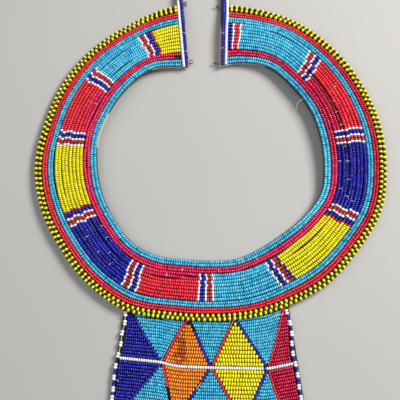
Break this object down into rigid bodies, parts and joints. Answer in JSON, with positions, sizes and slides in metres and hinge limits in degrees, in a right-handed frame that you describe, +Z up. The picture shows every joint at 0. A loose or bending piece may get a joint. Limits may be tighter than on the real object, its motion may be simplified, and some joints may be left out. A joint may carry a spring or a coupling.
{
  "type": "beaded collar",
  "caption": "Flat C-shaped neck collar of coloured bead strings sewn side by side on hide, with a hanging panel of beaded diamonds and small wire hooks and eyes at the back.",
  "frame": {"origin": "under the middle of the whole part, on the surface that it lies on", "axes": "+Z up, +Y towards the open back of the neck, panel towards -Y, +X to the right in the picture"},
  "size_m": [0.2244, 0.2766, 0.009],
  "materials": {
    "hide": "matt, pale where it is cut",
    "wire": "dull",
    "turquoise_glass": "opaque, glossy",
    "scarlet_glass": "opaque, glossy",
    "crimson_glass": "opaque, glossy",
    "yellow_glass": "opaque, glossy",
    "orange_glass": "opaque, glossy",
    "navy_glass": "translucent, glossy",
    "white_glass": "opaque, glossy"
  },
  "bodies": {
    "root": {"collar_hide": "hide", "inner_turquoise_strings": "turquoise_glass", "crimson_strings": "crimson_glass", "outer_turquoise_strings": "turquoise_glass", "outer_red_strings": "scarlet_glass", "rim_strings": "yellow_glass", "field_1": "yellow_glass", "field_2": "turquoise_glass", "field_3": "scarlet_glass", "field_4": "yellow_glass", "field_5": "navy_glass", "field_6": "scarlet_glass", "field_7": "turquoise_glass", "field_8": "yellow_glass", "field_9": "navy_glass", "field_10": "scarlet_glass", "field_11": "turquoise_glass", "divider_1": "white_glass", "divider_2": "white_glass", "divider_3": "white_glass", "divider_4": "white_glass", "divider_5": "white_glass", "divider_6": "white_glass", "divider_7": "white_glass", "divider_8": "white_glass", "divider_9": "white_glass", "divider_10": "white_glass", "divider_11": "white_glass", "left_end_white": "white_glass", "left_end_navy": "navy_glass", "right_end_white": "white_glass", "right_end_navy": "navy_glass", "outer_eye": "wire", "inner_eye": "wire", "outer_hook": "wire", "inner_hook": "wire", "panel_hide": "hide", "upper_navy": "navy_glass", "lower_navy": "navy_glass", "upper_left_turquoise": "turquoise_glass", "lower_left_turquoise": "turquoise_glass", "upper_orange": "orange_glass", "lower_orange": "orange_glass", "upper_middle_turquoise": "turquoise_glass", "lower_middle_turquoise": "turquoise_glass", "upper_yellow": "yellow_glass", "lower_yellow": "yellow_glass", "upper_right_turquoise": "turquoise_glass", "lower_right_turquoise": "turquoise_glass", "upper_crimson": "crimson_glass", "lower_crimson": "crimson_glass", "panel_white_row": "white_glass", "panel_outline_navy": "navy_glass", "panel_outline_red": "scarlet_glass", "panel_edge_left": "white_glass", "panel_edge_right": "white_glass", "panel_edge_bottom": "white_glass"}
  },
  "joints": []
}
